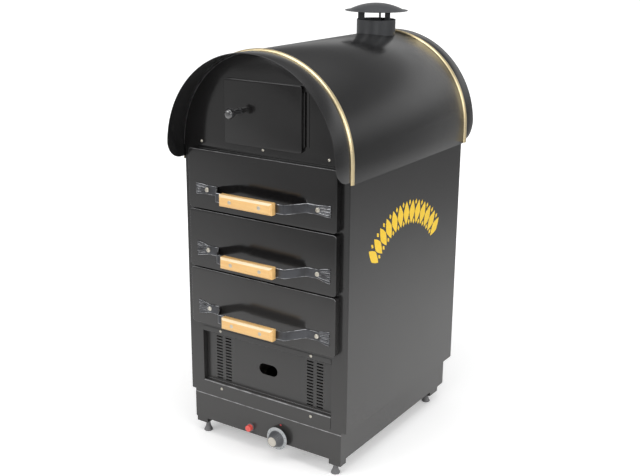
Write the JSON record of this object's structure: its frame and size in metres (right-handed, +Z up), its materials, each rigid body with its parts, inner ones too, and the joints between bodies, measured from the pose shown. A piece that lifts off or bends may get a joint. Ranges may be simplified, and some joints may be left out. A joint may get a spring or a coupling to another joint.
{
  "type": "baked potato oven",
  "caption": "Floor-standing gas baked potato oven: a black cabinet with pull-out baking drawers under a barrel hood that holds a warming compartment and a capped chimney.",
  "frame": {"origin": "on the floor under the middle of the bounding box, on the body's left-right centre plane", "axes": "+X to the right as seen from the front, +Y from the front to the back, +Z up"},
  "size_m": [0.522, 0.7632, 1.17],
  "materials": {
    "black_coat": "semi-gloss black powder coat",
    "hood_coat": "semi-gloss black powder coat, slightly smoother",
    "front_coat": "semi-gloss black powder coat",
    "flue_coat": "semi-gloss black stove paint",
    "bead": "polished pale brass",
    "screw_head": "bright plated",
    "foot_steel": "dark grey enamel",
    "liner_steel": "aluminised sheet, dull",
    "tray_steel": "aluminised sheet, dull",
    "mineral_wool": "matt fibre",
    "burner_steel": "heat-tinted",
    "pipe_steel": "drawn",
    "inlet_brass": "machined",
    "valve_aluminium": "die-cast",
    "bulb_copper": "drawn copper",
    "electrode_ceramic": "glazed ceramic",
    "lead_sleeve": "silicone sleeve",
    "bezel_grey": "satin",
    "button_red": "glossy red",
    "hinge_steel": "dark plated",
    "magnet": "matt",
    "knob_black": "glossy phenolic",
    "dial_white": "glossy",
    "dial_dark": "satin",
    "dial_disc": "pale anodised",
    "strap_steel": "dark forged, worn bright on the edges",
    "grip_wood": "pale varnished hardwood"
  },
  "bodies": {
    "cabinet": {"side_panel_left": "black_coat", "side_panel_right": "black_coat", "back_panel": "black_coat", "front_rails": "black_coat", "arch_panel": "black_coat", "hood_cover": "hood_coat", "front_visor": "hood_coat", "rear_visor": "hood_coat", "hood_beads": "bead", "burner_access_panel": "black_coat", "case_screws": "screw_head", "base_tray": "black_coat", "control_panel": "black_coat", "plinth_surround": "black_coat", "corner_brackets": "black_coat", "levelling_feet": "foot_steel", "oven_wall_liners": "liner_steel", "oven_roof_liner": "liner_steel", "flame_baffle": "liner_steel", "insulation_slabs": "mineral_wool", "drawer_runners": "liner_steel", "warmer_box": "liner_steel", "chimney_pipe": "flue_coat", "rain_cap": "flue_coat", "rain_cap_legs": "flue_coat", "burner_bars": "burner_steel", "gas_manifold": "pipe_steel", "gas_supply_pipe": "pipe_steel", "gas_inlet": "inlet_brass", "thermostat_valve": "valve_aluminium", "thermostat_bulb": "bulb_copper", "spark_electrode": "electrode_ceramic", "ignition_lead": "lead_sleeve", "piezo_body": "bezel_grey", "door_hinge_leaf_fixed": "hinge_steel", "door_hinge_pin": "hinge_steel", "magnet_catch": "magnet"},
    "drawer_1": {"drawer_1_front": "front_coat", "drawer_1_tray": "tray_steel", "drawer_1_handle": "strap_steel", "drawer_1_grip": "grip_wood", "drawer_1_fixings": "screw_head"},
    "drawer_2": {"drawer_2_front": "front_coat", "drawer_2_tray": "tray_steel", "drawer_2_handle": "strap_steel", "drawer_2_grip": "grip_wood", "drawer_2_fixings": "screw_head"},
    "drawer_3": {"drawer_3_front": "front_coat", "drawer_3_tray": "tray_steel", "drawer_3_handle": "strap_steel", "drawer_3_grip": "grip_wood", "drawer_3_fixings": "screw_head"},
    "warming_door": {"warmer_door": "front_coat", "warmer_door_knob": "knob_black", "door_hinge_leaf_moving": "hinge_steel"},
    "thermostat_dial": {"dial_skirt": "dial_white", "dial_grip": "dial_dark", "dial_cap": "dial_disc", "dial_spindle": "hinge_steel"},
    "spark_button": {"piezo_button": "button_red"}
  },
  "joints": [
    {"name": "drawer_1_slide", "type": "slide", "parent": "cabinet", "child": "drawer_1", "axis": [0, -1, 0], "range_m": [0, 0.4]},
    {"name": "drawer_2_slide", "type": "slide", "parent": "cabinet", "child": "drawer_2", "axis": [0, -1, 0], "range_m": [0, 0.4]},
    {"name": "drawer_3_slide", "type": "slide", "parent": "cabinet", "child": "drawer_3", "axis": [0, -1, 0], "range_m": [0, 0.4]},
    {"name": "warming_door_hinge", "type": "hinge", "parent": "cabinet", "child": "warming_door", "pos_m": [0.1265, -0.2953, 0.931], "axis": [0, 0, 1], "range_deg": [0, 110]},
    {"name": "thermostat_turn", "type": "hinge", "parent": "cabinet", "child": "thermostat_dial", "pos_m": [0.049, -0.3074, 0.0645], "axis": [0, -1, 0], "range_deg": [0, 270]},
    {"name": "spark_button_press", "type": "slide", "parent": "cabinet", "child": "spark_button", "axis": [0, 1, 0], "range_m": [0, 0.005], "stiffness_N_per_m": 600}
  ]
}
